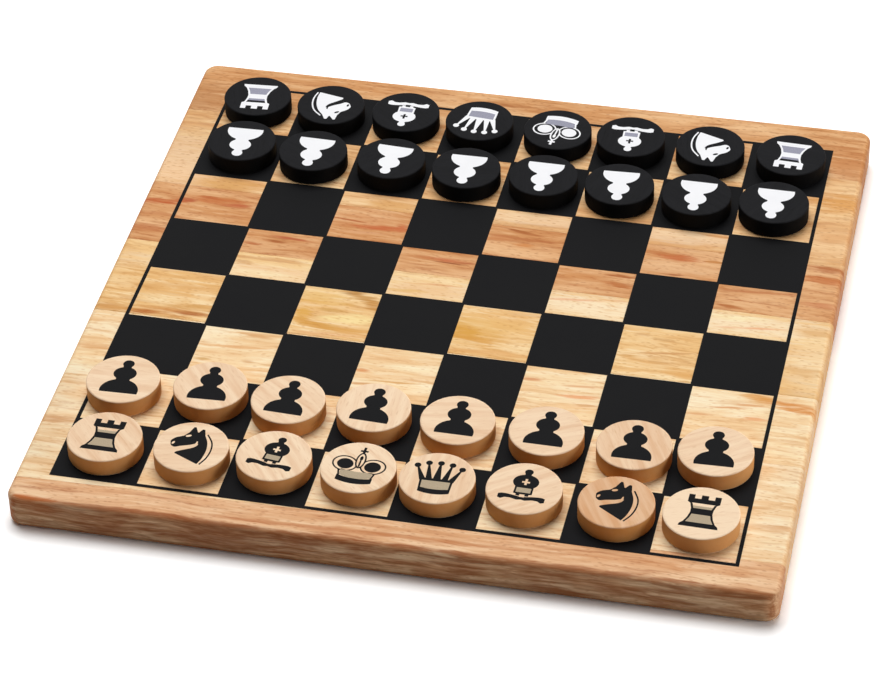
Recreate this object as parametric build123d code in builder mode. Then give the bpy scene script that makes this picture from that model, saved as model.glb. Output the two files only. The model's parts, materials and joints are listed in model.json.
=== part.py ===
from build123d import *
import os

# A small chess set in wood: an edge-glued board with a printed field, and
# thirty-two flat round chessmen, each with its figure sunk a little into
# the top. Millimetres and degrees. The origin is the middle of the board's
# underside, +X runs along the grain, +Y away from the light player, +Z up.

# Printed field: the count is the squares along one side.
SQUARE_PITCH = 28.3
SQUARE_COUNT = 8
LINE_WIDTH = 0.9
OUTER_LINE_WIDTH = 0.85
PRINT_THICKNESS = 0.1
PRINT_SHIFT_X = -0.5
PRINT_SHIFT_Y = -0.7
PRINT_TURN = -0.5

# Board
BORDER_WIDTH = 13.8
BOARD_THICKNESS = 12.5
CORNER_RADIUS = 5.0
EDGE_RADIUS = 2.0

# Staves: widths at the middle of the board, from the front edge back. The
# back stave is what the others leave. The joints' angles are to the grain,
# because the strips were not sawn quite parallel.
FRONT_STAVE_WIDTH = 12.8
SECOND_STAVE_WIDTH = 50.7
THIRD_STAVE_WIDTH = 35.6
FOURTH_STAVE_WIDTH = 41.1
FIFTH_STAVE_WIDTH = 33.1
SIXTH_STAVE_WIDTH = 49.3
JOINT_ANGLES = (1.0, -0.6, -0.6, -0.6, -1.5, -0.2)

# Chessmen
DISC_DIAMETER = 25.0
DISC_THICKNESS = 6.5
DISC_EDGE_RADIUS = 0.5
FIGURE_DEPTH = 0.1
FIGURE_MARGIN = 1.7

# The figures below are drawn in millimetres about the disc's middle, and
# no point of them lies further out than this.
FIGURE_REACH = 10.8

# How the men were set down: how far each lies to the right and away from
# the middle of its square, in shares of the free play in a square, and its
# turn to the left, for the files from a to h.
LIGHT_OFFICER_LAY = (
    (0.0, -0.1, 0),
    (0.7, 0.2, 0),
    (0.4, 0.8, -7),
    (0.5, 0.6, -2),
    (-0.7, 0.5, 1),
    (-0.5, 0.8, -1),
    (0.7, 0.4, -8),
    (0.2, 0.4, -1),
)
LIGHT_PAWN_LAY = (
    (-1.6, 0.8, 2),
    (-0.7, 2.2, 3),
    (-1.2, 1.0, -2),
    (-0.8, 1.9, -2),
    (-0.5, 1.3, 0),
    (0.4, 1.5, 0),
    (1.1, 0.7, 1),
    (0.1, 1.9, 2),
)
DARK_PAWN_LAY = (
    (0.3, 0.1, 182),
    (-0.3, -0.6, 179),
    (0.2, -0.2, 177),
    (0.1, -0.6, 181),
    (0.1, -0.1, 180),
    (-0.1, -0.2, 183),
    (-0.2, -0.7, 180),
    (-0.5, -0.4, 180),
)
DARK_OFFICER_LAY = (
    (-0.7, 0.3, 184),
    (-0.7, 0.1, 193),
    (-0.6, 0.5, 180),
    (-0.8, 0.3, 175),
    (-0.1, 0.2, 174),
    (-0.8, 0.6, 181),
    (-0.1, 0.4, 185),
    (0.7, 0.4, 178),
)

# Sizes that follow from those above
FIELD_SIZE = SQUARE_COUNT * SQUARE_PITCH
BOARD_SIZE = FIELD_SIZE + 2 * BORDER_WIDTH
LIGHT_SQUARE_SIZE = SQUARE_PITCH - LINE_WIDTH
FREE_PLAY = (SQUARE_PITCH - DISC_DIAMETER) / 2
FIGURE_SCALE = (DISC_DIAMETER / 2 - FIGURE_MARGIN) / FIGURE_REACH
PRINT_PLANE = Plane(
    Location((PRINT_SHIFT_X, PRINT_SHIFT_Y, BOARD_THICKNESS), (0, 0, PRINT_TURN))
)

os.makedirs("parts", exist_ok=True)


def write(part, name):
    """Labels a finished piece and writes it as one STEP file."""
    part.label = name
    export_step(part, f"parts/{name}.step")


def board_blank():
    """The whole glued board with its corners and edges rounded over."""
    with BuildPart() as blank:
        with BuildSketch():
            RectangleRounded(BOARD_SIZE, BOARD_SIZE, CORNER_RADIUS)
        extrude(amount=BOARD_THICKNESS)
        rims = blank.faces().sort_by(Axis.Z)[0].edges()
        rims += blank.faces().sort_by(Axis.Z)[-1].edges()
        fillet(rims, EDGE_RADIUS)
    return blank.part


def joint_line(distance, angle):
    """Both ends of a glue joint, which crosses the board's middle line at a
    distance from its front edge and lies at an angle to the grain."""
    middle = Vector(0, distance - BOARD_SIZE / 2)
    half = Vector(BOARD_SIZE / 2 + BORDER_WIDTH, 0).rotate(Axis.Z, angle)
    return middle - half, middle + half


def make_stave(name, blank, front_joint, back_joint):
    """One strip of the board, between two glue joints."""
    with BuildPart() as stave:
        with BuildSketch():
            with BuildLine():
                Polyline(*front_joint, *reversed(back_joint), close=True)
            make_face()
        extrude(amount=BOARD_THICKNESS)
        add(blank, mode=Mode.INTERSECT)
    write(stave.part, name)


def make_staves():
    """The seven strips, glued edge to edge."""
    blank = board_blank()
    names = ("front", "second", "third", "fourth", "fifth", "sixth", "back")
    widths = (
        FRONT_STAVE_WIDTH,
        SECOND_STAVE_WIDTH,
        THIRD_STAVE_WIDTH,
        FOURTH_STAVE_WIDTH,
        FIFTH_STAVE_WIDTH,
        SIXTH_STAVE_WIDTH,
    )
    joints = [joint_line(-BORDER_WIDTH, 0)]
    distance = 0
    for width, angle in zip(widths, JOINT_ANGLES):
        distance += width
        joints.append(joint_line(distance, angle))
    joints.append(joint_line(BOARD_SIZE + BORDER_WIDTH, 0))
    for name, front_joint, back_joint in zip(names, joints, joints[1:]):
        make_stave(f"{name}_stave", blank, front_joint, back_joint)


def make_printed_field():
    """The film of black ink: dark squares, the lines between the light ones
    and the line round the field. The light squares are bare wood."""
    # Two checkered sets of windows, one for the odd and one for the even rows.
    rows = SQUARE_COUNT // 2
    step = 2 * SQUARE_PITCH
    half = SQUARE_PITCH / 2
    with BuildPart() as field:
        with BuildSketch(PRINT_PLANE):
            Rectangle(FIELD_SIZE + 2 * OUTER_LINE_WIDTH, FIELD_SIZE + 2 * OUTER_LINE_WIDTH)
            with Locations((half, -half), (-half, half)):
                with GridLocations(step, step, rows, rows):
                    Rectangle(LIGHT_SQUARE_SIZE, LIGHT_SQUARE_SIZE, mode=Mode.SUBTRACT)
        extrude(amount=PRINT_THICKNESS)
    write(field.part, "printed_field")


def pawn_figure():
    """A ball, a round collar and a domed foot."""
    with BuildSketch() as figure:
        with Locations((0, 7.8)):
            Circle(1.9)
        with Locations((0, 5.9)):
            Rectangle(2.8, 2.4)
        with Locations((0, 2.6)):
            Ellipse(3.95, 3.4)
        with Locations((0, -1.0)):
            Rectangle(4.4, 2.4)
        with BuildLine():
            Line((-6.5, -7.6), (6.5, -7.6))
            Line((6.5, -7.6), (6.6, -5.8))
            ThreePointArc((6.6, -5.8), (0, -0.6), (-6.6, -5.8))
            Line((-6.6, -5.8), (-6.5, -7.6))
        make_face()
    return figure.sketch


def rook_figure():
    """A tower with three merlons on a spread foot."""
    with BuildSketch() as figure:
        with BuildLine():
            Polyline((0, -7.4), (6.4, -7.4), (6.3, -6.3), (5.1, -5.2))
            ThreePointArc((5.1, -5.2), (4.1, -2.5), (3.7, 0.4))
            Polyline((3.7, 0.4), (3.8, 3.4), (5.2, 4.6), (5.2, 8.4), (3.1, 8.4))
            Polyline((3.1, 8.4), (3.1, 6.9), (1.2, 6.9), (1.2, 8.4), (0, 8.4))
            mirror(about=Plane.YZ)
        make_face()
    return figure.sketch


def knight_figure():
    """A horse's head that looks to the left."""
    with BuildSketch() as figure:
        with BuildLine():
            Polyline((-4.5, -4.8), (4.7, -8.8))
            ThreePointArc((4.7, -8.8), (7.0, -0.4), (2.8, 6.8))
            Polyline((2.8, 6.8), (2.1, 9.2), (0.3, 7.4), (-1.3, 9.8), (-2.4, 7.0))
            ThreePointArc((-2.4, 7.0), (-4.3, 5.0), (-6.7, 3.2))
            ThreePointArc((-6.7, 3.2), (-7.4, 0.8), (-5.6, -1.0))
            ThreePointArc((-5.6, -1.0), (-1.4, -0.2), (1.6, 2.0))
            ThreePointArc((1.6, 2.0), (0.2, -1.7), (-4.5, -4.0))
            Line((-4.5, -4.0), (-4.5, -4.8))
        make_face()
    return figure.sketch


def bishop_figure():
    """A mitre with a ball on top, over two ribbons."""
    with BuildSketch() as figure:
        with Locations((0, 7.9)):
            Circle(1.3)
        with BuildLine():
            Line((0, 7.2), (0.8, 7.0))
            ThreePointArc((0.8, 7.0), (4.3, 3.4), (3.1, 0.2))
            Line((3.1, 0.2), (3.2, -3.4))
            ThreePointArc((3.2, -3.4), (5.4, -4.2), (7.6, -4.2))
            Line((7.6, -4.2), (7.5, -6.0))
            ThreePointArc((7.5, -6.0), (3.9, -5.9), (0, -4.8))
            mirror(about=Plane.YZ)
        make_face()
    return figure.sketch


def king_figure():
    """A crown of two lobes with a cross between them."""
    with BuildSketch() as figure:
        with Locations((0, 7.9)):
            Rectangle(1.0, 3.6)
        with Locations((0, 8.2)):
            Rectangle(2.8, 1.0)
        with Locations((0, 4.2)):
            Ellipse(1.7, 2.8)
        with Locations(Location((4.7, 0.9), (0, 0, -8)), Location((-4.7, 0.9), (0, 0, 8))):
            Ellipse(4.2, 3.6)
        with BuildLine():
            Line((0, 2.4), (6.6, -1.6))
            Line((6.6, -1.6), (5.9, -7.2))
            ThreePointArc((5.9, -7.2), (3.0, -8.0), (0, -8.2))
            mirror(about=Plane.YZ)
        make_face()
    return figure.sketch


def queen_figure():
    """A crown of five spikes, each with a ball on its tip."""
    with BuildSketch() as figure:
        with Locations((-7.4, 5.2), (-3.9, 6.9), (0, 7.3), (3.9, 6.9), (7.4, 5.2)):
            Circle(1.1)
        with BuildLine():
            Polyline((0, 7.3), (1.3, 1.0), (3.9, 6.9), (3.6, 0.8), (7.4, 5.2))
            Polyline((7.4, 5.2), (5.4, -1.2), (5.2, -6.9))
            ThreePointArc((5.2, -6.9), (2.7, -7.6), (0, -7.8))
            mirror(about=Plane.YZ)
        make_face()
    return figure.sketch


def make_disc(name, figure, disc_plane):
    """One flat round man, with its figure sunk a little into the top."""
    with BuildPart() as disc:
        with BuildSketch(disc_plane):
            Circle(DISC_DIAMETER / 2)
        extrude(amount=DISC_THICKNESS)
        fillet(disc.edges().filter_by(GeomType.CIRCLE), DISC_EDGE_RADIUS)
        with BuildSketch(disc_plane.offset(DISC_THICKNESS - FIGURE_DEPTH)):
            add(figure)
            scale(by=FIGURE_SCALE)
        extrude(amount=FIGURE_DEPTH, mode=Mode.SUBTRACT)
    write(disc.part, name)


def make_rank(side, rank, kinds, lay):
    """The eight men of one rank, from file a to file h."""
    for file, (kind, (right, away, turn)) in enumerate(zip(kinds, lay)):
        x = (file + 0.5) * SQUARE_PITCH - FIELD_SIZE / 2 + right * FREE_PLAY
        y = (rank - 0.5) * SQUARE_PITCH - FIELD_SIZE / 2 + away * FREE_PLAY
        place = Location((x, y, PRINT_THICKNESS), (0, 0, turn))
        name = f"{side}_{kind}_{'abcdefgh'[file]}"
        make_disc(name, FIGURES[kind], Plane(PRINT_PLANE.location * place))


FIGURES = {
    "pawn": pawn_figure(),
    "rook": rook_figure(),
    "knight": knight_figure(),
    "bishop": bishop_figure(),
    "king": king_figure(),
    "queen": queen_figure(),
}
PAWNS = ("pawn",) * SQUARE_COUNT
LIGHT_OFFICERS = ("rook", "knight", "bishop", "king", "queen", "bishop", "knight", "rook")
DARK_OFFICERS = ("rook", "knight", "bishop", "queen", "king", "bishop", "knight", "rook")

make_staves()
make_printed_field()
make_rank("light", 1, LIGHT_OFFICERS, LIGHT_OFFICER_LAY)
make_rank("light", 2, PAWNS, LIGHT_PAWN_LAY)
make_rank("dark", SQUARE_COUNT - 1, PAWNS, DARK_PAWN_LAY)
make_rank("dark", SQUARE_COUNT, DARK_OFFICERS, DARK_OFFICER_LAY)
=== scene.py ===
# %% [markdown]
# # A small wooden chess set
# The set is a flat board, glued up from seven strips of pale hardwood and printed with a black field, and
# thirty-two flat round men that are sawn from rod and printed with a figure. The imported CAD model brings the
# sizes and the moving bodies. This lesson gives every piece its finished surface, its own wood or ink, and
# then a camera, a floor and soft light. Lengths are thought of in millimetres, and turned to metres where a
# piece is put into the scene.

import json
import math

import bmesh
import bpy
import numpy as np
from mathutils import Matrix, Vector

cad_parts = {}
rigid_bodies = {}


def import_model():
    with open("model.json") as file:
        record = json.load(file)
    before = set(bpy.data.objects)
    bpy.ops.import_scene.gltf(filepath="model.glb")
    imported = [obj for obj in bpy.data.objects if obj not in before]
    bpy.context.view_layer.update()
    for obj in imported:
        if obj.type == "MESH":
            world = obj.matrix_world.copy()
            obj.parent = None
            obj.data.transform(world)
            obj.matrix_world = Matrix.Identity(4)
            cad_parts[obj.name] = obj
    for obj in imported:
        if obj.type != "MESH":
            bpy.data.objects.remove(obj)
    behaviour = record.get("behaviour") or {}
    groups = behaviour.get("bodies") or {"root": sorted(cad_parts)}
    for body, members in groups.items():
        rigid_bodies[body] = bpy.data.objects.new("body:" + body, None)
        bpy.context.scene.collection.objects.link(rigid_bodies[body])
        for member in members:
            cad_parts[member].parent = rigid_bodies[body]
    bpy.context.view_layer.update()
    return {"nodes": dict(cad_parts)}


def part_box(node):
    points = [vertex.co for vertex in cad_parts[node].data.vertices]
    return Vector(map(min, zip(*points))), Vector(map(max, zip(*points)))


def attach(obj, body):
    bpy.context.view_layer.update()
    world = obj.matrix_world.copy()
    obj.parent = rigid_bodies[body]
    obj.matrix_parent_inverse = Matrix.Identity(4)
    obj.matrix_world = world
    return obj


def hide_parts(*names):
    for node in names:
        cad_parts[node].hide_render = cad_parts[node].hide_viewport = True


for thing in list(bpy.data.objects):
    bpy.data.objects.remove(thing, do_unlink=True)
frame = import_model()
scene = bpy.context.scene
MM = 0.001

# %% [markdown]
# ## The camera
# The photograph was taken with a long lens from the player's right, about 39 degrees above the table. A long
# lens keeps the far edge nearly as wide as the near one. The place and the turn were found from the corners
# of the printed squares, because a field of known squares fixes a camera by itself.

# %% Camera
CAMERA_PLACE = (201.5, -898.3, 741.2)
CAMERA_TURN = (50.970, 1.312, 12.143)
CAMERA_LENS = 138.25
SENSOR_WIDTH = 36.0

camera_data = bpy.data.cameras.new("camera")
camera_data.lens = CAMERA_LENS
camera_data.sensor_fit = "HORIZONTAL"
camera_data.sensor_width = SENSOR_WIDTH
camera_data.clip_start = 0.05
camera_data.clip_end = 60.0
camera = bpy.data.objects.new("camera", camera_data)
camera.location = [value * MM for value in CAMERA_PLACE]
camera.rotation_euler = [math.radians(value) for value in CAMERA_TURN]
scene.collection.objects.link(camera)
scene.camera = camera
print("camera distance in mm", round(camera.location.length / MM))

# %% [markdown]
# ## Meshes from grids of points
# A surface can be written as a grid: rows of points, each row with as many points as the next. The faces
# then follow from the row and column numbers alone, so one function can skin every piece of this set. A
# strip of wood is a loop of points carried along its length, a disc is a profile carried round a circle,
# and a printed shape is a thin bar between a left and a right rail.


# %% Grids into faces
def skin(points, closed=True, caps=False):
    """Faces over a grid of points (rows, columns, 3), one between each two rows and each two columns.

    Closed joins the last column to the first. Caps fills the first and the last row with one face each.
    """
    rows, columns = points.shape[:2]
    number = np.arange(rows * columns).reshape(rows, columns)
    wrapped = np.column_stack([number, number[:, 0]]) if closed else number
    a, b = wrapped[:-1, :-1], wrapped[:-1, 1:]
    c, d = wrapped[1:, 1:], wrapped[1:, :-1]
    faces = np.stack([a, b, c, d], axis=-1).reshape(-1, 4).tolist()
    if caps:
        faces += [number[0, ::-1].tolist(), number[-1].tolist()]
    return points.reshape(-1, 3), faces


print("faces round a closed 3 by 4 grid, with caps", len(skin(np.zeros((3, 4, 3)), caps=True)[1]))


# %% Faces into objects
def put_together(name, patches, paints=None):
    """One mesh object from patches of (points in mm, faces), each with the number of its material."""
    points = np.concatenate([patch[0] for patch in patches]) * MM
    starts = np.cumsum([0] + [len(patch[0]) for patch in patches[:-1]])
    faces, slots = [], []
    for start, patch, paint in zip(starts, patches, paints or [0] * len(patches)):
        faces += [[int(start + corner) for corner in face] for face in patch[1]]
        slots += [paint] * len(patch[1])
    mesh = bpy.data.meshes.new(name)
    mesh.from_pydata(points.tolist(), [], faces)
    mesh.polygons.foreach_set("material_index", np.array(slots, np.int32))
    mesh.polygons.foreach_set("use_smooth", np.ones(len(faces), bool))
    mesh.validate()
    mesh.update()
    made = bpy.data.objects.new(name, mesh)
    scene.collection.objects.link(made)
    return made


# %% Clean edges
WELD = 0.001


def weld(mesh):
    """Joins the points that lie on each other, at a pole or where a corner runs out, and closes the skin."""
    work = bmesh.new()
    work.from_mesh(mesh)
    bmesh.ops.remove_doubles(work, verts=work.verts, dist=WELD * MM)
    bmesh.ops.dissolve_degenerate(work, edges=work.edges, dist=WELD * MM)
    work.to_mesh(mesh)
    work.free()


def sharpen(mesh, degrees):
    """Marks the edges that turn by more than an angle, so that smooth shading stops there."""
    mesh.set_sharp_from_angle(angle=math.radians(degrees))


print("points nearer than this are joined, in mm", WELD)

# %% [markdown]
# ## Colours and nodes
# Colours are picked as the sRGB values that a screen shows, and Blender works with linear light, so one
# function turns the first into the second. Materials are graphs of nodes. One small function adds any node
# with its settings and its links, and a few more name the nodes that come again and again: noise, a change of
# range, arithmetic and one colour over another. That keeps each material readable as a list of steps. Sockets
# go by name or by number: on Mix, 0 is the share, and for colours 6 is the one under and 7 the one over.


# %% Colours and nodes
def linear(code):
    """The linear RGBA colour of an sRGB hex code: the sRGB curve undone, channel by channel."""
    value = np.array([int(code[i : i + 2], 16) for i in (1, 3, 5)]) / 255
    light = np.where(value <= 0.04045, value / 12.92, ((value + 0.055) / 1.055) ** 2.4)
    return (*light.tolist(), 1.0)


def add(tree, kind, inputs=None, **settings):
    """Adds a shader node: settings are its options, inputs its sockets, linked where a socket is given."""
    made = tree.nodes.new("ShaderNode" + kind)
    for key, value in settings.items():
        setattr(made, key, value)
    for key, value in (inputs or {}).items():
        if isinstance(value, bpy.types.NodeSocket):
            tree.links.new(value, made.inputs[key])
        else:
            made.inputs[key].default_value = value
    return made


def new_material(name):
    """An empty material and its tree."""
    made = bpy.data.materials.new(name)
    made.use_nodes = True
    made.node_tree.nodes.clear()
    return made, made.node_tree


def finished(material, shader):
    """The material with its last shader joined to an output node."""
    output = add(material.node_tree, "OutputMaterial")
    material.node_tree.links.new(shader.outputs[0], output.inputs["Surface"])
    return material


print("middle grey in linear light", [round(value, 3) for value in linear("#808080")])


# %% The nodes that every material uses
def noise(tree, place, detail, rough=0.5, scale=1.0):
    """The outputs of soft noise. Detail is how many finer noises lie on it, and rough how strong they are."""
    inputs = {"Vector": place, "Scale": scale, "Detail": detail, "Roughness": rough}
    return add(tree, "TexNoise", inputs).outputs


def ramp(tree, value, low, high, start=0.0, end=1.0, **settings):
    """A value's range, low to high, brought to the range start to end, and held at its ends."""
    return add(tree, "MapRange", {0: value, 1: low, 2: high, 3: start, 4: end}, **settings).outputs[0]


def maths(tree, operation, *values, **settings):
    """One step of arithmetic, under its name in Blender."""
    return add(tree, "Math", dict(enumerate(values)), operation=operation, **settings).outputs[0]


def vectors(tree, operation, *values):
    """One step of arithmetic on places, under its name in Blender. It gives a place, and a number."""
    return add(tree, "VectorMath", dict(enumerate(values)), operation=operation).outputs


def mixed(tree, share, under, over):
    """One colour laid over another by a share."""
    return add(tree, "Mix", {0: share, 6: under, 7: linear(over)}, data_type="RGBA").outputs[2]


print("helpers for nodes", [helper.__name__ for helper in (add, noise, ramp, maths, vectors, mixed)])

# %% [markdown]
# ## Wood for the board
# The strips are a pale plantation hardwood, planed, sanded and oiled. Its colour changes in broad growth
# bands that run along the strip, and finer streaks lie in them. Cut vessels show as short dark dashes. All
# of it is one pattern in space, worked out from the distance to the heart of the tree, so the top, the
# rounded edge and the sawn end of a strip agree with each other as they do in a real board.

# %% Sizes in the wood
BOARD_HALF = 127.0
GROWTH_LENGTH = 85.0
STREAK_LENGTH, STREAK_WIDTH = 19.0, 1.7
FIBRE_LENGTH, FIBRE_WIDTH = 6.5, 0.6
VESSEL_LENGTH, VESSEL_WIDTH = 3.2, 1.0
WANDER_LENGTH, WANDER_WIDTH = 34.0, 15.0
BLUSH_LENGTH, BLUSH_WIDTH = 30.0, 8.5
WANDER = 2.3
END_GRAIN_DEPTH = 1.5
LOG_STEP = 310.0
PER_MM = (1 / MM,) * 3
print("a streak in mm", STREAK_LENGTH, "by", STREAK_WIDTH, "and a fibre", FIBRE_LENGTH, "by", FIBRE_WIDTH)


# %% Long patches
def stretched(tree, place, length, width):
    """A place measured in patches that are long along the grain and narrow across it."""
    return vectors(tree, "MULTIPLY", place, (1 / length, 1 / width, 1 / width))[0]


# %% [markdown]
# ### From the log to the strip
# The grain's own place is worked out first: a place on the board is turned with the strip's lean, moved to
# another part of the log for each strip, and bent from side to side by slow noise. Growth bands, blush and
# streaks all read that bent place, so they wander together.


# %% Grain, bands and streaks
def bent_grain(tree, place, seed, lean):
    """The place in the log in mm, bent by slow noise, and that noise centred on nought."""
    to_mm = {"Vector": place, "Scale": PER_MM, "Rotation": (0, 0, -math.radians(lean))}
    board = add(tree, "Mapping", to_mm).outputs[0]
    log = vectors(tree, "ADD", board, (seed * LOG_STEP, 0, 0))[0]
    bend = noise(tree, stretched(tree, log, WANDER_LENGTH, WANDER_WIDTH), 3.0)["Color"]
    centred = vectors(tree, "SUBTRACT", bend, (0.5,) * 3)[0]
    return vectors(tree, "MULTIPLY_ADD", centred, (0, 2 * WANDER, 2 * WANDER), log)[0], centred


def growth_bands(tree, grain, seed, band, heart):
    """A share that swings with the distance from the heart, band by band, and slowly along the strip."""
    flat = vectors(tree, "MULTIPLY", grain, (0, 1, 1))[0]
    age = vectors(tree, "DISTANCE", flat, (0, *heart))["Value"]
    along = add(tree, "SeparateXYZ", {0: grain}).outputs["X"]
    slow = maths(tree, "MULTIPLY", along, 1 / GROWTH_LENGTH)
    year = maths(tree, "MULTIPLY", age, 1 / band)
    ring_at = add(tree, "CombineXYZ", {"X": slow, "Y": year, "Z": float(seed)}).outputs[0]
    return ramp(tree, noise(tree, ring_at, 3.0, 0.55)["Fac"], 0.36, 0.66, interpolation_type="SMOOTHSTEP")


def blushed(tree, grain, wood, bright, deep):
    """A slow blush: patches of the deeper colour, and of the bright one where the noise is low."""
    blush = noise(tree, stretched(tree, grain, BLUSH_LENGTH, BLUSH_WIDTH), 2.0)["Fac"]
    wood = mixed(tree, ramp(tree, blush, 0.46, 0.7, end=0.7), wood, deep)
    return mixed(tree, ramp(tree, blush, 0.5, 0.28, end=0.8), wood, bright)


def streaked(tree, grain, wood, bright, vein):
    """Streaks along the grain, dark ones and bright ones, and the noise that they come from."""
    streak = noise(tree, stretched(tree, grain, STREAK_LENGTH, STREAK_WIDTH), 3.0, 0.62)["Fac"]
    wood = mixed(tree, ramp(tree, streak, 0.51, 0.74, end=0.8), wood, vein)
    return mixed(tree, ramp(tree, streak, 0.47, 0.3, end=0.7), wood, bright), streak


print("the grain wanders by at most, in mm", WANDER)

# %% [markdown]
# ### Stains, vessels and the sawn ends
# The real strips have stains of their own: a red streak here, an ochre cloud there. Each is an ellipse along
# the grain, soft at its rim and torn by the same noise as the streaks, so it looks grown. Two long marks on
# the
# front strip are painted shade instead: they darken the upright front face and its rounded edge.
# Vessels are drawn twice as wide as they are so that they show. The sawn ends drink more oil and turn deeper.

# %% Stains and vessels
MARK_FLOW = 0.8 * WANDER
MARK_TEAR = -3.0
MARK_RIM, MARK_CORE = 0.1, -1.1


def marked(tree, place, centred, streak, wood, marks):
    """Stains, and painted shade on the front face: far is the distance in half sizes of the ellipse, less
    three times the streaks' noise.
    """
    flow = vectors(tree, "MULTIPLY", centred, (0, MARK_FLOW, 0))[0]
    level = add(tree, "Mapping", {"Vector": place, "Scale": PER_MM}).outputs[0]
    waved = vectors(tree, "ADD", flow, level)[0]
    for x, y, half_length, half_width, tilt, strength, colour in marks:
        # A Mapping node of the Texture kind moves to the mark, turns with it and measures in half sizes.
        # The third half size is as good as endless, so a mark goes right through the strip.
        mark = {"Location": (x, y, 0), "Rotation": (0, 0, math.radians(tilt))}
        mark |= {"Vector": waved, "Scale": (half_length, half_width, 1e6)}
        scaled = add(tree, "Mapping", mark, vector_type="TEXTURE").outputs[0]
        far = vectors(tree, "LENGTH", scaled)["Value"]
        torn = maths(tree, "MULTIPLY_ADD", streak, MARK_TEAR, far)
        soft = ramp(tree, torn, MARK_RIM, MARK_CORE, end=strength, interpolation_type="SMOOTHSTEP")
        wood = mixed(tree, soft, wood, colour)
    return wood


def grained(tree, grain, wood, deep, vein):
    """Cut vessels, one short dash to a cell, and fine fibres: the colour, the dashes and the fibres."""
    vessel_at = stretched(tree, grain, VESSEL_LENGTH, VESSEL_WIDTH)
    vessel = add(tree, "TexVoronoi", {"Vector": vessel_at, "Scale": 1.0}).outputs["Distance"]
    dash = ramp(tree, vessel, 0.32, 0.12, end=0.5)
    wood = mixed(tree, dash, wood, vein)
    fibre = noise(tree, stretched(tree, grain, FIBRE_LENGTH, FIBRE_WIDTH), 2.0)["Fac"]
    return mixed(tree, ramp(tree, fibre, 0.48, 0.78, end=0.6), wood, deep), dash, fibre


def end_grained(tree, place, wood, vein):
    """The deeper colour of the sawn ends, from how far a place lies along the board."""
    x = add(tree, "SeparateXYZ", {0: place}).outputs["X"]
    edge = (BOARD_HALF - END_GRAIN_DEPTH) * MM
    end = ramp(tree, maths(tree, "ABSOLUTE", x), edge, edge + END_GRAIN_DEPTH * MM, end=0.6)
    return mixed(tree, end, wood, vein)


print("end grain reaches in by, in mm", END_GRAIN_DEPTH)


# %% The whole wood
def strip_wood(name, colours, seed, lean, band, heart, marks):
    """Sanded and oiled hardwood for one strip, all in mm.

    The colours are the brightest, the pale, the deep and the vein. The lean is the grain's, in degrees.
    The band is how wide a growth band is. The heart is where the tree's middle lay, across and below.
    Each mark is (along, across, half length, half width, tilt, strength, colour).
    """
    bright, pale, deep, vein = colours
    made, tree = new_material(name)
    place = add(tree, "TexCoord").outputs["Object"]
    grain, centred = bent_grain(tree, place, seed, lean)
    wood = mixed(tree, growth_bands(tree, grain, seed, band, heart), linear(pale), deep)
    wood = blushed(tree, grain, wood, bright, deep)
    wood, streak = streaked(tree, grain, wood, bright, vein)
    wood = marked(tree, place, centred, streak, wood, marks)
    wood, dash, fibre = grained(tree, grain, wood, deep, vein)
    wood = end_grained(tree, place, wood, vein)
    rough = ramp(tree, streak, 0.3, 0.7, 0.52, 0.66)
    bump_set = {"Strength": 0.4, "Distance": 0.00006, "Height": maths(tree, "ADD", fibre, dash)}
    bump = add(tree, "Bump", bump_set, invert=True).outputs[0]
    skin_set = {"Base Color": wood, "Roughness": rough, "Normal": bump, "Specular IOR Level": 0.12}
    return finished(made, add(tree, "BsdfPrincipled", skin_set))


# %% Colours of the strips
ORANGE = ("#f6d3aa", "#ecc197", "#dda677", "#b06c40")
STRAW = ("#fdecca", "#f9e0b6", "#f0c897", "#d29a62")
CREAM = ("#fff0ce", "#fce3b6", "#f2c995", "#dba36b")
HONEY = ("#fce2b4", "#f6d198", "#e8b573", "#c88a48")
RUSSET = ("#ecbd8c", "#e2ad7a", "#cf905a", "#ab6234")
TAN = ("#f7d5a4", "#efc590", "#dda66e", "#b87642")
AMBER = ("#eec494", "#e2ae7a", "#d0945e", "#a46232")
RED_STREAK = "#c06a34"
print("colours in each wood", len(ORANGE))
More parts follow.
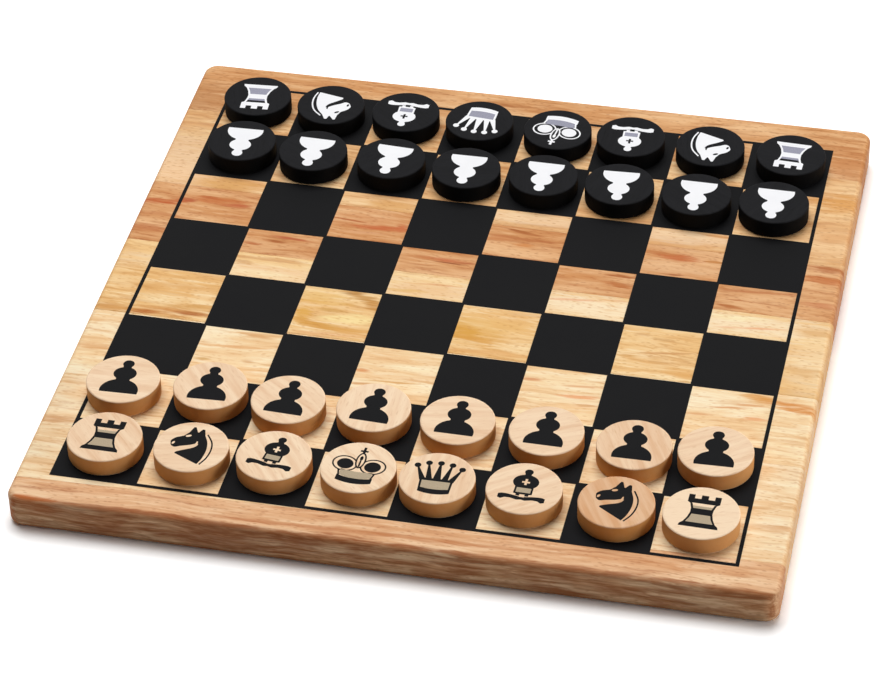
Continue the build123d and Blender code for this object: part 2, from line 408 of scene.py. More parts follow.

# %% [markdown]
# ### Where the stains and the front face's painted shade lie
# The stains were set against the photograph, square by square. x runs along the strips and y from
# the front to the back, both from the middle of the board.

# %% Stains of the three front strips, and painted shade on the front face
FRONT_STAINS_AND_SHADE = (
    # The first two marks lie along the upright front face and its rounded edge: painted shade that makes the
    # face darker and browner.
    (-60, -126.3, 80, 1, 0, 0.8, "#9c5830"),
    (60, -126.2, 90, 1, 0, 0.8, "#a05e34"),
    (-118, -125.6, 9, 1, 0, 0.9, RED_STREAK),
    (-20, -122.5, 45, 0.9, 1, 0.6, "#bf7a4c"),
    (40, -120.5, 40, 0.8, 2, 0.6, "#c58250"),
    (104, -119, 14, 1.4, 3, 0.6, "#cf8f5c"),
)
SECOND_MARKS = (
    (-70, -74, 30, 1.4, 0, 0.5, "#d6a067"),
    (122, -60, 6, 1.2, 0, 0.6, "#dca062"),
    (-121, -86, 7, 2, 0, 0.7, "#c98c58"),
    (121, -96, 8, 1.6, 0, 0.6, "#d69c66"),
)
THIRD_MARKS = (
    (-66.5, -31, 5, 0.6, -6, 0.7, "#d69a60"),
    (-71.5, -38, 13, 0.7, 3, 0.7, "#e3a870"),
    (-82, -46.5, 3, 0.8, 6, 0.7, "#cf9a52"),
    (-66, -45, 2.5, 0.9, 0, 0.7, "#d29c68"),
    (-26.5, -42.5, 2.5, 0.9, 0, 0.9, "#dc9058"),
    (-15, -47, 12.5, 0.5, 4, 0.9, "#d9a05c"),
    (-23.5, -49.5, 4, 0.5, 4, 0.7, "#d2965e"),
    (-12.5, -38.5, 8, 1.3, 2, 0.6, "#fff0c8"),
    (31, -36.5, 3, 0.7, 0, 0.9, "#d99464"),
    (48, -37.5, 5.5, 0.5, 4, 0.8, "#dfa274"),
    (48, -43, 5, 0.8, 2, 0.8, "#eea470"),
    (51, -47, 3, 0.8, 4, 0.7, "#d8a06a"),
    (107.5, -32.5, 4.5, 1.6, -6, 0.9, "#dc984a"),
    (97, -39.5, 7, 0.5, 7, 0.8, "#dc9862"),
    (106, -37, 4, 0.5, 5, 0.8, "#dea06e"),
    (107, -43.5, 3.5, 0.8, 3, 0.8, "#ea9c66"),
    (89, -44.5, 4, 0.5, 5, 0.7, "#e0a470"),
    (-121, -46, 7, 1.6, 0, 0.6, "#dfa46a"),
    (121, -36, 8, 2.2, -6, 0.9, "#d98c44"),
)
print("stains", len(FRONT_STAINS_AND_SHADE), len(SECOND_MARKS), len(THIRD_MARKS))

# %% Stains of the fourth strip
FOURTH_MARKS = (
    (60, 5, 80, 5.5, 0, 0.85, "#fde8c4"),
    (-60, 4, 60, 4, 0, 0.7, "#fbe2ba"),
    (124, -12, 10, 12, 0, 0.6, "#fce2b8"),
    (-98.5, -23.5, 15, 2.2, 7, 0.85, "#cc8a4a"),
    (-92.5, -23.5, 8, 1.2, 6, 0.9, "#b26c38"),
    (-110, -25.5, 6, 1.2, 6, 0.9, "#b4682e"),
    (-92.5, -19.5, 9, 1.6, 5, 0.8, "#d49c54"),
    (-99.5, -9, 13, 1.6, 0, 0.4, "#dcaa70"),
    (-105, -16.5, 8, 2.6, 4, 0.5, "#fae0b0"),
    (-39.5, -2.4, 4, 1.0, 0, 0.85, "#a07444"),
    (-35, -4.2, 7.5, 1.9, -24, 0.8, "#c08840"),
    (-30.5, -8, 3.5, 2.2, -34, 0.75, "#c28438"),
    (-49.5, -6.5, 8, 4.2, 0, 0.6, "#e6b662"),
    (-54, -17, 2.5, 5.2, 0, 0.8, "#dfa84c"),
    (-48.5, -21, 8, 2.0, -14, 0.9, "#d69a46"),
    (-36, -23, 9, 1.4, 6, 0.8, "#dda457"),
    (-37.5, -16.5, 8, 2.3, 8, 0.9, "#fde4a4"),
    (-44.5, -13, 3.5, 1.3, 0, 0.5, "#c8984e"),
    (-43, -25.5, 13, 1.3, 3, 0.5, "#e8b080"),
    (5, -14, 11, 7, 0, 0.5, "#e0aa50"),
    (2.5, -15.5, 5, 4, 0, 0.8, "#d89c3c"),
    (9, -20, 8, 1.8, -8, 0.8, "#d99c48"),
    (16, -10, 10.5, 3.6, 0, 0.5, "#eec07a"),
    (13.5, -25.5, 13, 1, 2, 0.5, "#e2a868"),
    (74, -14.5, 12, 0.6, 10, 0.8, "#c98c52"),
    (70.5, -7.5, 4, 0.7, 0, 0.5, "#c4945e"),
    (63.5, -6, 3, 0.7, 0, 0.5, "#c99460"),
    (80.5, -25, 6, 2.3, 0, 0.8, "#e2a860"),
    (60, -18.5, 3, 0.7, 0, 0.7, "#d39c58"),
    (-70, 4.5, 14, 3, 0, 0.5, "#efbd88"),
    (-14, 4.5, 14, 3, 0, 0.55, "#e9b47c"),
    (-70, 11.5, 14, 0.9, 1, 0.5, "#cc9465"),
    (-81.5, 8.5, 2.5, 1, 0, 0.6, "#cf9c68"),
    (-72.5, 3.5, 10.5, 1.3, 0, 0.6, "#fff0c4"),
    (-20, 3, 6.5, 0.8, 3, 0.6, "#e0b060"),
    (-12, 8, 9, 0.5, 5, 0.7, "#dfa070"),
    (39.5, 8.5, 9, 0.5, 6, 0.7, "#eaaa80"),
    (50, 10.5, 5, 0.5, 6, 0.6, "#e8ae7c"),
    (101, 4, 10.5, 0.5, 6, 0.8, "#eeac80"),
    (93.5, 8.5, 8, 1.3, 3, 0.7, "#fff0c0"),
    (-121, -25, 7, 3.4, 0, 0.85, "#cf9452"),
    (-121, 0, 7, 1.6, 0, 0.6, "#d9a05e"),
    (122, 5, 7, 2.2, 0, 0.7, "#dba25c"),
    (121, -16, 8, 2, 0, 0.6, "#d8a05c"),
)
print("stains", len(FOURTH_MARKS))

# %% Stains of the three back strips
FIFTH_MARKS = (
    (-102, 42, 11, 1.6, 0, 0.8, "#c4703c"),
    (-111, 40.5, 3, 1.2, 4, 0.95, "#b6603a"),
    (-92.5, 40.5, 3.5, 0.9, 0, 0.9, "#bd643c"),
    (-103.5, 43.5, 3.5, 1, 0, 0.8, "#bb6838"),
    (-92.5, 34.5, 5, 0.5, 0, 0.5, "#cc8a58"),
    (-42.5, 39.5, 16, 4.5, 0, 0.55, "#cd8854"),
    (-37, 37, 8, 1.4, 0, 0.95, "#c4683a"),
    (-31, 38, 2.5, 2.1, 0, 0.9, "#c66a3e"),
    (-50.5, 39.5, 5.5, 0.6, -8, 0.9, "#b46638"),
    (-45.5, 33, 8, 0.8, 3, 0.5, "#e8b488"),
    (9, 44, 5, 0.6, -8, 0.95, "#a45e2e"),
    (15.5, 42.5, 4.5, 0.5, -5, 0.9, "#b06a38"),
    (20.5, 46, 5, 0.5, 5, 0.8, "#bd7a44"),
    (14, 39.5, 11, 0.6, -2, 0.7, "#b66e3e"),
    (14, 36, 3.5, 0.8, 0, 0.8, "#cf8040"),
    (4, 38.5, 3.5, 1, 0, 0.7, "#c98452"),
    (70, 32.5, 16, 3.4, 0, 0.6, "#f0c698"),
    (70, 44.5, 16, 2.6, 0, 0.5, "#efc494"),
    (69.5, 38.5, 7, 1.8, 0, 0.95, "#c26c3c"),
    (62.5, 40.5, 5, 0.7, -4, 0.8, "#bd7440"),
    (81.5, 38.5, 3, 0.9, 0, 0.8, "#bf7a36"),
    (69, 28.5, 4.5, 0.5, 0, 0.9, "#a05a32"),
    (-68.5, 25, 6, 0.6, -5, 0.95, "#b8603a"),
    (-73.5, 22.5, 4, 0.7, -3, 0.95, "#a45a28"),
    (-81.5, 20, 3.5, 1, -4, 0.8, "#b66434"),
    (-71, 17.5, 8, 0.5, 0, 0.7, "#b87440"),
    (-12, 22.5, 7, 0.9, 0, 0.9, "#c46c42"),
    (-10.5, 21, 5.5, 0.4, -2, 0.95, "#9a542c"),
    (-4, 22, 3.5, 0.5, 5, 0.8, "#b2643a"),
    (-19.5, 22, 5, 1, 0, 0.7, "#c68450"),
    (50, 24.5, 4.5, 0.8, 0, 0.95, "#a65a26"),
    (51, 19, 5, 1.2, -14, 0.85, "#b86c38"),
    (37, 22, 6.5, 1.3, 0, 0.6, "#cd8a50"),
    (92, 18.5, 4, 0.5, 3, 0.85, "#b66e3c"),
    (91, 14.5, 5, 0.8, -8, 0.9, "#b46c3a"),
    (101.5, 24.5, 8, 0.5, 4, 0.7, "#c07a4c"),
    (-121, 38, 9, 1.6, 3, 0.95, "#bc5c2e"),
    (-121, 22, 9, 2.2, 0, 0.8, "#bd7444"),
    (-120, 31, 9, 1, 0, 0.6, "#c27c4c"),
    (122, 41, 7, 1.6, 0, 0.8, "#b06638"),
    (122, 34.5, 7, 1.8, 0, 0.75, RED_STREAK),
    (122, 21, 7, 1.4, 0, 0.7, "#c87c50"),
)
SIXTH_MARKS = (
    (-99, 52, 13, 2.6, 0, 0.8, "#dba460"),
    (-96.5, 48.5, 8, 0.8, 0, 0.6, "#c98a4c"),
    (-37.5, 50, 9, 2.6, 0, 0.7, "#dea866"),
    (-47.5, 48, 6.5, 0.8, 0, 0.5, "#c98c54"),
    (14, 52, 24, 3.4, 0, 0.6, "#fbdcb4"),
    (68, 51, 24, 3.6, 0, 0.6, "#fadcb6"),
    (80, 53.5, 5, 0.8, -5, 0.8, "#cc8a4c"),
    (16.5, 48, 10.5, 0.5, 2, 0.5, "#cf9860"),
    (-121, 62, 12, 15, 0, 0.85, "#f6d0a6"),
    (122, 56, 10, 7, 0, 0.6, "#f4cc9c"),
    (122, 60, 7, 2, 0, 0.4, "#d6904c"),
    (122, 80, 8, 5, 0, 0.7, "#dc9c50"),
)
BACK_MARKS = (
    (-121, 104, 10, 9, 0, 0.6, "#be8352"),
    (121, 104, 10, 9, 0, 0.6, "#c27e4a"),
)
print("stains", len(FIFTH_MARKS), len(SIXTH_MARKS), len(BACK_MARKS))

# %% The seven woods
STRIP_WOODS = {
    "front": strip_wood("hardwood_oiled_orange", ORANGE, 1, 0.0, 3.4, (-150, -70), FRONT_STAINS_AND_SHADE),
    "second": strip_wood("hardwood_oiled_straw", STRAW, 2, 0.6, 3.6, (-20, -90), SECOND_MARKS),
    "third": strip_wood("hardwood_oiled_cream", CREAM, 3, 1.2, 3.4, (40, -80), THIRD_MARKS),
    "fourth": strip_wood("hardwood_oiled_honey", HONEY, 4, -2.2, 4.6, (10, -30), FOURTH_MARKS),
    "fifth": strip_wood("hardwood_oiled_russet", RUSSET, 5, -2.6, 3.4, (70, -60), FIFTH_MARKS),
    "sixth": strip_wood("hardwood_oiled_tan", TAN, 6, -1.4, 3.6, (30, -70), SIXTH_MARKS),
    "back": strip_wood("hardwood_oiled_amber", AMBER, 7, -0.4, 3.4, (190, -60), BACK_MARKS),
}
print("strip woods", len(STRIP_WOODS))

# %% [markdown]
# ## The seven strips
# Each strip is a closed loop of points carried along the board. The loop's two sides are glue faces with
# their edges just broken, and the outer side of the first and the last strip is the board's own rounded
# edge. Near the ends the loops sink as a quarter circle does, which makes the round-over on the end grain.

# %% Sizes of the strips
BOARD_THICKNESS = 12.5
CORNER_RADIUS = 5.0
EDGE_RADIUS = 2.0
SUPPORT = 0.25
STRIP_NAMES = ("front", "second", "third", "fourth", "fifth", "sixth", "back")
STRIP_WIDTHS = (12.8, 50.7, 35.6, 41.1, 33.1, 49.3)
JOINT_ANGLES = (1.0, -0.6, -0.6, -0.6, -1.5, -0.2)
JOINT_ARRISES = (0.12, 0.12, 0.3, 0.12, 0.12, 0.12)
print("back strip's width in mm", round(2 * BOARD_HALF - sum(STRIP_WIDTHS), 2))


# %% Places along a strip
def quarter(steps):
    """Angles from zero to a right angle, in even steps."""
    return np.linspace(0, math.pi / 2, steps)


def stations():
    """Places along the strip, from end to end, close together where the end is rounded."""
    edge = EDGE_RADIUS * (1 - np.cos(quarter(9)))
    corner = CORNER_RADIUS * (1 - np.cos(quarter(9)))
    inner = np.linspace(CORNER_RADIUS + SUPPORT, BOARD_HALF, 14)
    depth = np.unique(np.round(np.concatenate([edge, [EDGE_RADIUS + SUPPORT], corner, inner]), 4))
    left = depth - BOARD_HALF
    return np.concatenate([left, -left[-2::-1]])


print("stations along a strip", len(stations()))


# %% The two kinds of side
def glue_side(x, middle, angle, arris, inward):
    """A glue face from bottom to top at each station: upright, its two edges broken by a small round.

    The rounding of the board's end lifts the bottom and sinks the top by the same amount.
    """
    depth = np.minimum(BOARD_HALF - abs(x), EDGE_RADIUS)
    sunk = EDGE_RADIUS - np.sqrt(EDGE_RADIUS**2 - (EDGE_RADIUS - depth) ** 2)
    turn = quarter(4)
    rise = arris * np.concatenate([[0], 1 - np.cos(turn), [2.5]])
    pull = arris * np.concatenate([[2.5], 1 - np.sin(turn), [0]])
    low = sunk[:, None] + rise
    z = np.column_stack([low, BOARD_THICKNESS - low[:, ::-1]])
    line = middle + x * math.tan(math.radians(angle))
    y = line[:, None] + inward * np.concatenate([pull, pull[::-1]])
    return y, z


def outer_side(x, side):
    """The board's rounded outer edge from bottom to top: a quarter circle, upright, a quarter circle.

    A height's offset shrinks the rounded plan, and the plan's corner bends the edge inwards there.
    """
    depth = np.minimum(BOARD_HALF - abs(x), EDGE_RADIUS)
    full = np.arccos(1 - depth / EDGE_RADIUS)
    turn = full[:, None] * np.linspace(1, 0, 9)
    rise = EDGE_RADIUS * (1 - np.sin(turn))
    offset = EDGE_RADIUS * (1 - np.cos(turn))
    past = np.maximum(abs(x) - (BOARD_HALF - CORNER_RADIUS), 0)[:, None]
    reach = np.sqrt(np.maximum((CORNER_RADIUS - offset) ** 2 - past**2, 0))
    y = BOARD_HALF - CORNER_RADIUS + reach
    inner = np.maximum(y[:, :1] - SUPPORT, 0)
    y = np.column_stack([inner, y, y[:, -1], y[:, -1], y[:, ::-1], inner])
    upright = rise[:, -1:] + SUPPORT
    low = np.column_stack([rise[:, 0], rise, upright])
    z = np.column_stack([low, BOARD_THICKNESS - low[:, ::-1]])
    return side * y, z


print("points up a glue side", glue_side(stations(), 0, 0, JOINT_ARRISES[0], 1)[0].shape[1])
print("points up an outer side", outer_side(stations(), 1)[0].shape[1])


def make_strip(name, front, back):
    """A strip between two glue joints, each (middle, angle, arris), or None at the board's own edge."""
    x = stations()
    sides = []
    for joint, inward in ((back, -1), (front, 1)):
        sides.append(glue_side(x, *joint, inward) if joint else outer_side(x, -inward))
    (back_y, back_z), (front_y, front_z) = sides
    y = np.column_stack([back_y, front_y[:, ::-1]])
    z = np.column_stack([back_z, front_z[:, ::-1]])
    loops = np.stack([np.broadcast_to(x[:, None], y.shape), y, z], axis=-1)
    strip = put_together(f"strip_{name}", [skin(loops, closed=True, caps=True)])
    weld(strip.data)
    sharpen(strip.data, 50)
    strip.data.materials.append(STRIP_WOODS[name])
    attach(strip, "board")
    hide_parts(f"{name}_stave")
    return strip


joint_middles = np.cumsum(STRIP_WIDTHS) - BOARD_HALF
joints = [None, *zip(joint_middles, JOINT_ANGLES, JOINT_ARRISES), None]
strips = [make_strip(name, *pair) for name, pair in zip(STRIP_NAMES, zip(joints, joints[1:]))]
print("strips", len(strips), "faces each", [len(strip.data.polygons) for strip in strips])

# %% [markdown]
# ## Black ink
# The field is screen printed: one even coat of satin black, thin enough that the grain under it still
# shows as a faint relief. Ink is never quite even, so its tone drifts a little, and it has a few dull rubs.


# %% Ink on the board and on the men
INK_DRIFT = 55.0  # drifts of tone to a metre, about 18 mm each
INK_GRAIN = (60.0, 1300.0, 1300.0)  # ridges to a metre, about 17 mm long and 0.8 mm wide


def printed_ink(name, base, worn, wear):
    """Screen-printed ink: an even coat with slow drift of tone, fine grain relief and a little wear."""
    made, tree = new_material(name)
    place = add(tree, "TexCoord").outputs["Object"]
    drift = noise(tree, place, 4.0, 0.7, INK_DRIFT)["Fac"]
    coat = mixed(tree, ramp(tree, drift, 0.35, 0.85, end=wear), linear(base), worn)
    grain_at = add(tree, "Mapping", {"Vector": place, "Scale": INK_GRAIN}).outputs[0]
    grain = noise(tree, grain_at, 2.0)["Fac"]
    rough = ramp(tree, drift, 0.3, 0.7, 0.58, 0.74)
    bump = add(tree, "Bump", {"Strength": 0.25, "Distance": 0.00003, "Height": grain}).outputs[0]
    skin_set = {"Base Color": coat, "Roughness": rough, "Normal": bump, "Specular IOR Level": 0.04}
    return finished(made, add(tree, "BsdfPrincipled", skin_set))


BLACK_INK = printed_ink("screen_ink_black", "#131314", "#1f1f21", 0.6)
WHITE_INK = printed_ink("screen_ink_white", "#f8f8fa", "#e6e6ea", 0.5)
frame["nodes"]["printed_field"].data.materials[0] = BLACK_INK

# %% [markdown]
# ## The men's wood
# The light men are slices of pale, close-grained rod, sanded and left bare. Every slice came from another
# place in the rod, so each has its own direction, its own tone and its own flecks. That is carried by two
# attributes on the mesh: the place in the log, and the tone. The dark men are the same slices, stained
# black.

# %% Wood of the men
ROD_BAND_LENGTH, ROD_BAND_WIDTH = 30.0, 2.4
RAY_LENGTH, RAY_WIDTH = 3.4, 0.6
WALL_TONE_AND_SHADE_SHARE = 0.86


def rod_wood(name, pale, deep, fleck, wall, contrast):
    """Close-grained wood: soft bands, fine flecks and a tone of its own for each man, from attributes.

    The wall colour is the sawn side's, which is browner than the sanded faces. On the dark men it is near
    black: painted shade that makes the upright wall darker than the top.
    """
    made, tree = new_material(name)
    log = add(tree, "Attribute", attribute_name="log").outputs["Vector"]
    own = add(tree, "Attribute", attribute_name="tone").outputs["Fac"]
    sawn = add(tree, "Attribute", attribute_name="wall").outputs["Fac"]
    band = noise(tree, stretched(tree, log, ROD_BAND_LENGTH, ROD_BAND_WIDTH), 4.0)["Fac"]
    dash = noise(tree, stretched(tree, log, RAY_LENGTH, RAY_WIDTH), 2.0)["Fac"]
    soft = ramp(tree, band, 0.38, 0.68, end=contrast)
    wood = mixed(tree, maths(tree, "ADD", soft, own, use_clamp=True), linear(pale), deep)
    wood = mixed(tree, ramp(tree, dash, 0.56, 0.8, end=contrast), wood, fleck)
    # The wall colour laid over the upright side: the sawn tone, and on the dark men painted shade as well.
    wood = mixed(tree, maths(tree, "MULTIPLY", sawn, WALL_TONE_AND_SHADE_SHARE), wood, wall)
    rough = ramp(tree, band, 0.3, 0.7, 0.55, 0.7)
    bump_set = {"Strength": 0.3, "Distance": 0.00005, "Height": dash}
    bump = add(tree, "Bump", bump_set, invert=True).outputs[0]
    skin_set = {"Base Color": wood, "Roughness": rough, "Normal": bump, "Specular IOR Level": 0.04}
    return finished(made, add(tree, "BsdfPrincipled", skin_set))


LIGHT_WOOD = rod_wood("beech_sanded_bare", "#fbdfbe", "#dca87c", "#d2a070", "#d0904a", 0.42)
# The dark men's wall colour is near black, painted shade on the upright side.
DARK_WOOD = rod_wood("beech_stained_black", "#151517", "#212123", "#0d0d0e", "#040404", 0.7)
print("woods of the men", LIGHT_WOOD.name, DARK_WOOD.name)

# %% [markdown]
# ### Fine printed lines
# The light bands in the figures are printed as fine lines, too close for the eye to part. A sine wave up the
# figure gives them, at a pitch as coarse as it needs to be to show at all.

# %% Lines of ink
HATCH_PITCH = 0.36


def hatched(name, ink, ground):
    """Fine printed lines: ink and ground swell and fade in turn up the figure, by its own UV map."""
    made, tree = new_material(name)
    up = add(tree, "SeparateXYZ", {0: add(tree, "UVMap", uv_map="figure").outputs[0]}).outputs["Y"]
    wave = maths(tree, "SINE", maths(tree, "MULTIPLY", up, 2 * math.pi / HATCH_PITCH))
    tone = mixed(tree, ramp(tree, wave, -0.6, 0.6), linear(ground), ink)
    skin_set = {"Base Color": tone, "Roughness": 0.65, "Specular IOR Level": 0.05}
    return finished(made, add(tree, "BsdfPrincipled", skin_set))


HATCH_ON_LIGHT = hatched("screen_ink_black_lines", "#8c7f6c", "#d9c4a4")
HATCH_ON_DARK = hatched("screen_ink_white_lines", "#b9b9ca", "#747482")
print("line pitch in mm", HATCH_PITCH)

# %% [markdown]
# ## Shapes for the figures
# The figures are the plain ones that chess diagrams use: a pawn, a tower, a horse's head, a mitre, and two
# crowns. Each is made of thin bars of ink. A bar lies between a left and a right rail, and a row of points
# goes round it at each step: left, right, and the same two below. Shapes that are the same on both sides
# come from one list of half widths, and lines come from a path with a width.


# %% Lines through points
def rounded(points, steps=7):
    """A smooth line through a few points: a cubic on each span, heading along its neighbours' line."""
    p = np.array(points, float)
    ends = np.vstack([2 * p[0] - p[1], p, 2 * p[-1] - p[-2]])
    slope = (ends[2:] - ends[:-2]) / 2
    t = np.linspace(0, 1, steps, endpoint=False)[:, None, None]
    start = (2 * t**3 - 3 * t**2 + 1) * p[:-1] + (t**3 - 2 * t**2 + t) * slope[:-1]
    end = (3 * t**2 - 2 * t**3) * p[1:] + (t**3 - t**2) * slope[1:]
    line = (start + end).transpose(1, 0, 2).reshape(-1, 2)
    return np.vstack([line, p[-1]])


def evenly(points, count):
    """The same line with a set number of points at even shares of its length."""
    p = np.asarray(points, float)
    gone = np.concatenate([[0], np.cumsum(np.hypot(*np.diff(p, axis=0).T))])
    at = np.linspace(0, gone[-1], count)
    return np.column_stack([np.interp(at, gone, p[:, 0]), np.interp(at, gone, p[:, 1])])


print("points on a rounded corner", len(rounded([(0, 0), (1, 0), (1, 1)])))


# %% Rails
def between(left, right, count=24):
    """The two rails of a bar from any two lines, brought to the same number of points."""
    return evenly(left, count), evenly(right, count)


def upright(profile, low, high, shift=0.0, count=60):
    """Rails that mirror each other: at each height, the half width that the profile gives."""
    y = np.linspace(low, high, count)
    w = np.maximum(profile(y), 0.02)
    return np.column_stack([shift - w, y]), np.column_stack([shift + w, y])


def block(half, low, high, shift=0.0):
    """The rails of a plain rectangle: a half width between two heights."""
    return upright(lambda y: half + 0 * y, low, high, shift, 2)


def ball(y, middle, wide, high):
    """Half width of an ellipse at each height: its width times the root of one less the height squared."""
    return wide * np.sqrt(np.maximum(1 - ((y - middle) / high) ** 2, 0))


def steps_of(y, *corners):
    """Half width that goes straight from corner to corner, each given as (height, half width)."""
    heights, widths = zip(*corners)
    return np.interp(y, heights, widths, left=0, right=0)


def oval(x, y, wide, high, turn=0.0, count=28):
    """The rails of an ellipse, turned to the left by an angle."""
    t = np.linspace(-math.pi / 2, math.pi / 2, count)
    a = math.radians(turn)
    spin = np.array([[math.cos(a), math.sin(a)], [-math.sin(a), math.cos(a)]])
    right = np.column_stack([wide * np.cos(t), high * np.sin(t)])
    left = right * (-1, 1)
    return left @ spin + (x, y), right @ spin + (x, y)


def stroke(points, width, smooth=True):
    """The rails of a pen line: the path moved to each side by half the width."""
    p = rounded(points) if smooth else np.array(points, float)
    way = np.gradient(p, axis=0)
    side = np.column_stack([-way[:, 1], way[:, 0]]) / np.hypot(*way.T)[:, None]
    half = np.interp(np.linspace(0, 1, len(p)), np.linspace(0, 1, np.size(width)), np.atleast_1d(width)) / 2
    return p + side * half[:, None], p - side * half[:, None]


print("rails of a ball", upright(lambda y: ball(y, 0, 1, 1), -1, 1)[0].shape)

# %% Bars of ink
FILM = 0.009
DISC_SINK = 0.05
INK, LINES, BARE = 0, 1, 2


def bar(paint, layer, left, right):
    """A bar with its rails the right way about: the outline's signed area tells which side is left."""
    x, y = np.vstack([right, left[::-1]]).T
    area = np.sum(x * np.roll(y, -1) - np.roll(x, -1) * y) / 2
    return (paint, layer, left, right) if area > 0 else (paint, layer, right, left)


def mirrored(bars):
    """The same bars on the other side of the middle line as well."""
    return bars + [bar(paint, layer, left * (-1, 1), right * (-1, 1)) for paint, layer, left, right in bars]


print("thickness of a film of ink in mm", FILM)

# %% [markdown]
# ## The six figures
# Each figure is measured in millimetres from the middle of its man. A light line inside a figure is the
# man's own wood again, laid as a film on top of the ink, because it's simpler to cover ink than to cut it.


# %% Pawn and rook
def pawn_bars():
    """A small head, a round collar and a domed foot in one bar."""

    def profile(y):
        foot = np.where(y > -6.2, ball(y, -6.2, 6.6, 5.9), steps_of(y, (-7.4, 6.5), (-6.2, 6.6)))
        neck = steps_of(y, (-2.2, 2.4), (0.4, 2.4))
        stem = steps_of(y, (4.7, 1.45), (7.1, 1.45))
        return np.max([foot, neck, ball(y, 2.75, 3.95, 3.4), stem, ball(y, 7.85, 1.95, 1.95)], axis=0)

    return [bar(INK, 0, *upright(profile, -7.4, 9.8, count=90))]


def rook_bars():
    """A tower with three merlons, its wall in two light bands, on a spread foot."""
    heights = (-7.1, -6.0, -5.0, -2.8, -0.2, 1.8, 4.1, 4.7, 6.5)
    widths = (6.4, 6.2, 5.2, 4.2, 3.6, 3.7, 4.3, 5.25, 5.25)

    def wall(y):
        return steps_of(y, *zip(heights, widths))

    bars = [bar(INK, 0, *upright(wall, -7.1, 6.5, count=70))]
    for shift, half in ((-4.25, 1.0), (0.0, 1.15), (4.25, 1.0)):
        bars.append(bar(INK, 0, *block(half, 6.5, 8.3, shift)))
    for paint, low, high, count in ((BARE, 3.0, 4.3, 8), (LINES, 1.8, 3.0, 8), (LINES, -4.9, -1.0, 12)):
        bars.append(bar(paint, 1, *upright(lambda y: wall(y) - 0.75, low, high, count=count)))
    return bars


print("pawn and rook", len(pawn_bars()), len(rook_bars()))


# %% Knight and bishop
def knight_bars():
    """A horse's head that looks to the left: a neck, a head, two ears and a line along the mane."""
    chest = rounded([(-4.5, -4.1), (-4.3, -3.3), (-1.6, -1.7), (0.7, -0.4), (1.9, 1.2), (2.0, 4.0)])
    back = rounded([(4.1, -8.1), (5.0, -5.2), (5.4, -1.2), (4.8, 2.8), (3.2, 6.2)])
    brow = [(3.1, 6.3), (1.4, 7.2), (-1.0, 7.3), (-2.6, 6.6), (-3.7, 5.0), (-6.0, 3.7), (-7.2, 2.3)]
    jaw = [(2.6, 1.8), (1.0, 1.6), (-0.8, 0.7), (-3.6, -0.3), (-5.4, -1.1), (-6.8, -0.3), (-7.4, 1.6)]
    return [
        bar(INK, 0, *between(chest, back, 32)),
        bar(INK, 1, *between(rounded(brow), rounded(jaw), 32)),
        bar(INK, 2, *between([(-2.6, 6.3), (-1.5, 9.7)], [(0.5, 7.0), (-0.8, 9.7)], 4)),
        bar(INK, 2, *between([(0.6, 7.1), (1.6, 9.1)], [(3.2, 6.2), (2.4, 9.0)], 4)),
        bar(INK, 0, *stroke([(4.9, -8.1), (6.4, -4.6), (6.9, -0.6), (6.2, 3.2), (3.9, 6.8)], 0.55)),
        bar(BARE, 2, *oval(-2.2, 5.1, 1.0, 0.5, 25)),
        bar(BARE, 2, *oval(-6.3, 0.9, 0.42, 0.75, -20)),
        bar(BARE, 2, *stroke([(-0.9, 0.2), (0.5, 0.7), (1.3, 1.6), (1.4, 2.9)], (0.3, 0.75, 0.75, 0.35))),
    ]


def bishop_bars():
    """A mitre with a ball on top, a light cross and a light band, over two ribbons."""

    def profile(y):
        knob = np.maximum(ball(y, 7.95, 1.4, 1.35), steps_of(y, (5.6, 1.05), (7.3, 1.05)))
        band = steps_of(y, (-3.9, 2.1), (-2.9, 2.1), (-2.85, 3.1), (1.6, 3.0))
        return np.max([knob, ball(y, 3.05, 4.25, 3.5), band], axis=0)

    x = np.linspace(0, 7.7, 32)
    top = np.interp(x, (0, 1.4, 3.6, 5.4, 6.6, 7.7), (-4.3, -4.1, -3.7, -3.5, -3.5, -3.9))
    low = np.interp(x, (0, 1.4, 3.6, 5.4, 6.6, 7.7), (-5.6, -5.9, -5.3, -5.4, -6.2, -5.7))
    bars = mirrored([bar(INK, 0, np.column_stack([x, low]), np.column_stack([x, top]))])
    bars.append(bar(INK, 1, *upright(profile, -4.4, 9.3, count=90)))
    bars.append(bar(BARE, 2, *block(0.4, 1.6, 4.5)))
    bars.append(bar(BARE, 3, *block(1.3, 2.55, 3.3)))
    bars.append(bar(LINES, 2, *block(2.4, -2.2, 0.1)))
    bars.append(bar(BARE, 2, *block(0.85, -4.4, -3.1)))
    return bars


print("knight and bishop", len(knight_bars()), len(bishop_bars()))


# %% King and queen
def king_bars():
    """A crown of two lobes with a cross between them, over a light band and a curved foot."""
    x = np.linspace(-6.0, 6.0, 28)
    foot = (np.column_stack([x, -8.2 + 0.03 * x**2]), np.column_stack([x, -5.7 + 0.03 * x**2]))
    band = (np.column_stack([x * 0.88, -5.7 + 0.03 * x**2]), np.column_stack([x * 0.9, -2.4 + 0.02 * x**2]))
    half = [
        bar(INK, 0, *oval(4.75, 1.0, 4.35, 3.75, 14)),
        bar(BARE, 1, *oval(4.75, 1.0, 3.8, 3.2, 14)),
        bar(INK, 2, *oval(4.6, 0.9, 2.75, 2.5, 12)),
        bar(INK, 2, *stroke([(5.3, -5.4), (6.1, -2.0)], 0.6, smooth=False)),
    ]
    return mirrored(half) + [
        bar(INK, 0, *foot),
        bar(LINES, 1, *band),
        bar(INK, 2, *oval(0, 3.3, 1.7, 3.9)),
        bar(BARE, 3, *oval(0, 3.3, 1.15, 3.2)),
        bar(INK, 4, *oval(0, 4.4, 0.55, 1.1)),
        bar(INK, 4, *block(0.3, 0.2, 3.3)),
        bar(INK, 0, *block(0.45, 6.9, 9.9)),
        bar(INK, 1, *block(1.3, 7.6, 8.4)),
    ]


